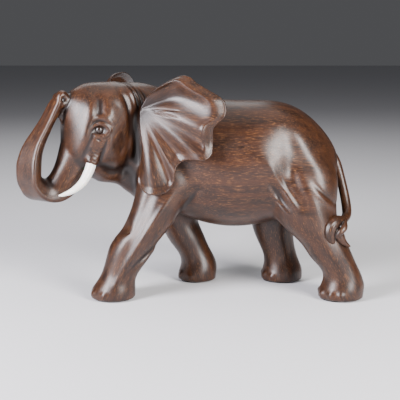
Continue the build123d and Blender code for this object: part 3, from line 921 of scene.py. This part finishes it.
def comb_tuft(clay):
    """Strands of the tuft: grooves that run along it."""
    path = smooth_path(TUFT, 40)
    runs = unit(np.gradient(path[:, :3], axis=0))
    side = unit(np.cross(runs, TUFT_OUT))
    for turn in np.radians((-75, -45, -15, 15, 45, 75)):
        line = path[:, :3] + (path[:, 3:4] + 0.2) * (cos(turn) * np.cross(side, runs) + sin(turn) * side)
        gap = nearest(clay.places(WHOLE), line)[0]
        clay.values += (0.9 * bell(gap, 0, 0.75)).astype(np.float32)


def tail_piece(material):
    """The tail swings round to the left thigh and ends in a curled tuft."""
    clay = Clay((104, -60, 44), (144, 8, 142), 0.45)
    add_rod(clay, TAIL, 0.8)
    add_rod(clay, TUFT, 2.5)
    add_rod(clay, TUFT_LEAF, 2.0)
    add_rod(clay, TUFT_CURL, 1.0)
    comb_tuft(clay)
    points, quads = clay.skin(clay.values)
    quads = facing_out(points.astype(float), quads)
    mesh = new_piece("carved_tail", points, quads.tolist(), "tail", material).data
    grain = points * np.array([1, 1, 1 / GRAIN_STRETCH])
    # How deep each point lies in the tail's grooves; the wood's material darkens them from it as painted
    # shade.
    shade_relief = clay.sample(clay.blurred(clay.values, 1.6), points) - clay.sample(clay.values, points)
    set_wood_attributes(mesh, grain, grain, np.ones(len(points)), shade_relief)
    mesh.shade_smooth()
    normals = clay.slopes(clay.blurred(clay.values, 0.5), points)
    mesh.normals_split_custom_set_from_vertices([tuple(n) for n in normals])


PAD_MARGIN = 0.7  # how much smaller than its CAD pad a soft pad is all round


def pad_piece(name, material):
    """A thin soft pad under a foot, its edge rounded."""
    low, high = (corner - FIGURE_ORIGIN for corner in node_box(f"foot_pad_{name}"))
    middle, half = (low + high) / 2, (high - low) / 2 - PAD_MARGIN
    turns = np.linspace(0, 2 * pi, 72, endpoint=False)
    bottom, top = low[2], high[2]
    rings = []
    for inset, z in ((0.9, bottom), (0.25, bottom + 0.15), (0, bottom + 0.5), (0, top - 0.4), (0.3, top)):
        x = middle[0] + (half[0] - inset) * np.cos(turns)
        y = middle[1] + (half[1] - inset) * np.sin(turns)
        rings.append(np.stack([x, y, np.full(len(turns), z)], axis=1))
    points, faces = wrapped(rings)
    new_piece(f"soft_pad_{name}", points, faces, f"foot_pad_{name}", material)


# Materials ----------------------------------------
def new_material(name):
    """An empty node material: its nodes, links and shader."""
    material = bpy.data.materials.new(name)
    material.use_nodes = True
    nodes = material.node_tree.nodes
    return material, nodes, material.node_tree.links, nodes["Principled BSDF"]


def attribute(nodes, name):
    """A node that reads what is stored at each point under a name."""
    node = nodes.new("ShaderNodeAttribute")
    node.attribute_name = name
    return node


def noise(nodes, links, coordinates, scale, detail, roughness=0.55):
    """Soft random values over some coordinates."""
    node = nodes.new("ShaderNodeTexNoise")
    node.inputs["Scale"].default_value = scale
    node.inputs["Detail"].default_value = detail
    node.inputs["Roughness"].default_value = roughness
    node.inputs["Distortion"].default_value = 0.25
    links.new(coordinates, node.inputs["Vector"])
    return node.outputs["Fac"]


def mixed(nodes, links, factor, a, b):
    """A mix of two values by a factor."""
    node = nodes.new("ShaderNodeMix")
    node.data_type = "FLOAT"
    for socket, value in zip(node.inputs[:1] + node.inputs[2:4], (factor, a, b)):
        links.new(value, socket)
    return node.outputs[0]


def ranged(nodes, links, value, low, high, to_low=0.0, to_high=1.0):
    """A value's range stretched smoothly onto another."""
    node = nodes.new("ShaderNodeMapRange")
    node.interpolation_type = "SMOOTHSTEP"
    for name, number in zip(("From Min", "From Max", "To Min", "To Max"), (low, high, to_low, to_high)):
        node.inputs[name].default_value = number
    links.new(value, node.inputs["Value"])
    return node.outputs["Result"]


def colour_mix(nodes, links, factor, a, b):
    """A mix of two colours, each a socket or three numbers, by a factor."""
    node = nodes.new("ShaderNodeMix")
    node.data_type = "RGBA"
    links.new(factor, node.inputs["Factor"])
    for socket, value in ((node.inputs[6], a), (node.inputs[7], b)):
        if isinstance(value, tuple):
            socket.default_value = (*value, 1)
        else:
            links.new(value, socket)
    return node.outputs[2]


WOOD_DARK = (0.0085, 0.0030, 0.0016)
WOOD_MIDDLE = (0.034, 0.0112, 0.0042)
WOOD_GOLD = (0.145, 0.060, 0.020)


def wood_material():
    """Dark walnut stain with fine golden streaks along the grain, under a satin lacquer, with painted shade
    darkening its hollows and creases.
    """
    material, nodes, links, shader = new_material("carved_walnut")
    share = attribute(nodes, "limb_share").outputs["Fac"]
    shade_relief = attribute(nodes, "shade_relief").outputs["Fac"]
    sets = [attribute(nodes, name).outputs["Vector"] for name in ("torso_grain", "limb_grain")]

    def along_grain(scale, detail, roughness=0.55):
        a, b = (noise(nodes, links, coordinates, scale, detail, roughness) for coordinates in sets)
        return mixed(nodes, links, share, a, b)

    broad = along_grain(0.16, 3)
    streak = along_grain(0.75, 4, 0.65)
    hair = along_grain(1.9, 2, 0.6)
    base = colour_mix(nodes, links, ranged(nodes, links, broad, 0.3, 0.72), WOOD_DARK, WOOD_MIDDLE)
    tone = colour_mix(nodes, links, ranged(nodes, links, streak, 0.42, 0.7, 0, 0.55), base, WOOD_MIDDLE)
    gold = ranged(nodes, links, hair, 0.53, 0.70, 0, 0.62)
    gilded = colour_mix(nodes, links, gold, tone, WOOD_GOLD)
    # Painted shade: the deeper a point lies in a hollow or crease, the nearer its colour is to the darkest
    # wood.
    painted_crevice_shade = ranged(nodes, links, shade_relief, -0.35, 0.02, 1, 0)
    links.new(colour_mix(nodes, links, painted_crevice_shade, gilded, WOOD_DARK), shader.inputs["Base Color"])
    links.new(ranged(nodes, links, streak, 0.3, 0.7, 0.31, 0.40), shader.inputs["Roughness"])
    shader.inputs["Specular IOR Level"].default_value = 0.4
    shader.inputs["Coat Weight"].default_value = 0.12
    shader.inputs["Coat Roughness"].default_value = 0.3
    bump = nodes.new("ShaderNodeBump")
    bump.inputs["Strength"].default_value = 0.25
    bump.inputs["Distance"].default_value = 0.0003
    links.new(hair, bump.inputs["Height"])
    links.new(bump.outputs["Normal"], shader.inputs["Normal"])
    return material


def mottled_material(name, colour, shade, roughness, coat=0.0, subsurface=0.0):
    """A colour that drifts towards a shade of itself in soft spots, unevenly polished."""
    material, nodes, links, shader = new_material(name)
    mottle = noise(nodes, links, nodes.new("ShaderNodeTexCoord").outputs["Object"], 260, 4)
    darker = tuple(shade * part for part in colour)
    spots = ranged(nodes, links, mottle, 0.36, 0.64)
    links.new(colour_mix(nodes, links, spots, darker, colour), shader.inputs["Base Color"])
    polish = ranged(nodes, links, mottle, 0.3, 0.7, roughness + 0.05, roughness - 0.04)
    links.new(polish, shader.inputs["Roughness"])
    shader.inputs["Coat Weight"].default_value = coat
    shader.inputs["Coat Roughness"].default_value = 0.08
    shader.inputs["Subsurface Weight"].default_value = subsurface
    shader.inputs["Subsurface Scale"].default_value = 0.002
    return material


# Stage ----------------------------------------
CAMERA_PLACE = (5.4, -800, 225.5)
CAMERA_PITCH = 0.1789
CAMERA_LENS = 82.4
FLOOR_REACH = 6.0


def set_camera():
    """A camera in front of the left flank, looking a little down."""
    data = bpy.data.cameras.new("camera")
    data.lens = CAMERA_LENS
    data.sensor_width = 36
    data.clip_start = 0.01
    camera = bpy.data.objects.new("camera", data)
    camera.location = to_frame(CAMERA_PLACE)
    camera.rotation_euler = (pi / 2 - CAMERA_PITCH, 0, 0)
    bpy.context.scene.collection.objects.link(camera)
    bpy.context.scene.camera = camera


LIGHT_AIM = (0, 0, 90)


def add_light(name, place, size, power, colour=(1, 1, 1)):
    """A soft box at a figure place, turned to the figure."""
    data = bpy.data.lights.new(name, "AREA")
    data.shape = "RECTANGLE"
    data.size, data.size_y = size
    data.energy = power
    data.color = colour
    light = bpy.data.objects.new(name, data)
    light.location = to_frame(place)
    light.rotation_euler = (Vector(to_frame(LIGHT_AIM)) - light.location).to_track_quat("-Z", "Y").to_euler()
    bpy.context.scene.collection.objects.link(light)


def set_stage():
    """A plain pale floor, a pale surround and soft boxes on the left, the right, above and behind."""
    mesh = bpy.data.meshes.new("floor")
    corners = [(FLOOR_REACH * x, FLOOR_REACH * y, 0) for x, y in ((-1, -1), (1, -1), (1, 1), (-1, 1))]
    mesh.from_pydata(corners, [], [(0, 1, 2, 3)])
    floor = bpy.data.objects.new("floor", mesh)
    bpy.context.scene.collection.objects.link(floor)
    material, _, _, shader = new_material("pale_floor")
    shader.inputs["Base Color"].default_value = (0.62, 0.62, 0.64, 1)
    shader.inputs["Roughness"].default_value = 0.9
    shader.inputs["Specular IOR Level"].default_value = 0.2
    mesh.materials.append(material)
    world = bpy.data.worlds.new("surround")
    bpy.context.scene.world = world
    world.use_nodes = True
    background = world.node_tree.nodes["Background"]
    background.inputs["Color"].default_value = (0.80, 0.81, 0.86, 1)
    background.inputs["Strength"].default_value = 0.10
    add_light("left_box", (-680, -540, 430), (0.32, 0.66), 31, (0.96, 0.94, 1.0))
    add_light("right_box", (620, -700, 440), (0.36, 0.70), 27, (1.0, 0.97, 0.95))
    add_light("top_box", (60, 60, 900), (0.7, 0.7), 2)
    add_light("far_box", (-200, 950, 1000), (0.8, 0.6), 3.5)


# Building ----------------------------------------
set_camera()
wood = wood_material()
clay = rough_out()
sculpt_body(clay)
correct_outline(clay)
shift_trunk(clay)
sculpt_feet(clay)
sculpt_head(clay)
sculpt_sheaths(clay)
sculpt_eyes(clay)
sculpt_trunk(clay)
fill_throat(clay)
trim_soles(clay)
carved_blocks(clay, wood)
tusk_white = mottled_material("tusk_white", (0.84, 0.82, 0.76), 0.9, 0.28, 0.3, 0.15)
eye_brown = mottled_material("polished_bead", (0.014, 0.006, 0.0035), 0.6, 0.3, 0.2)
pad_black = mottled_material("soft_pad", (0.014, 0.014, 0.015), 0.7, 0.8)
dowel_beech = mottled_material("dowel_beech", (0.44, 0.29, 0.16), 0.75, 0.6)
for side in ("left", "right"):
    ear_piece(side, wood)
    tusk_piece(side, tusk_white)
    eye_piece(side, eye_brown)
tail_piece(wood)
for name in LEG_NAMES:
    pad_piece(name, pad_black)
for node in ("leg_dowels", "neck_dowels", "trunk_dowel"):
    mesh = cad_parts[node].data
    mesh.materials.clear()
    mesh.materials.append(dowel_beech)
set_stage()

bpy.context.view_layer.update()
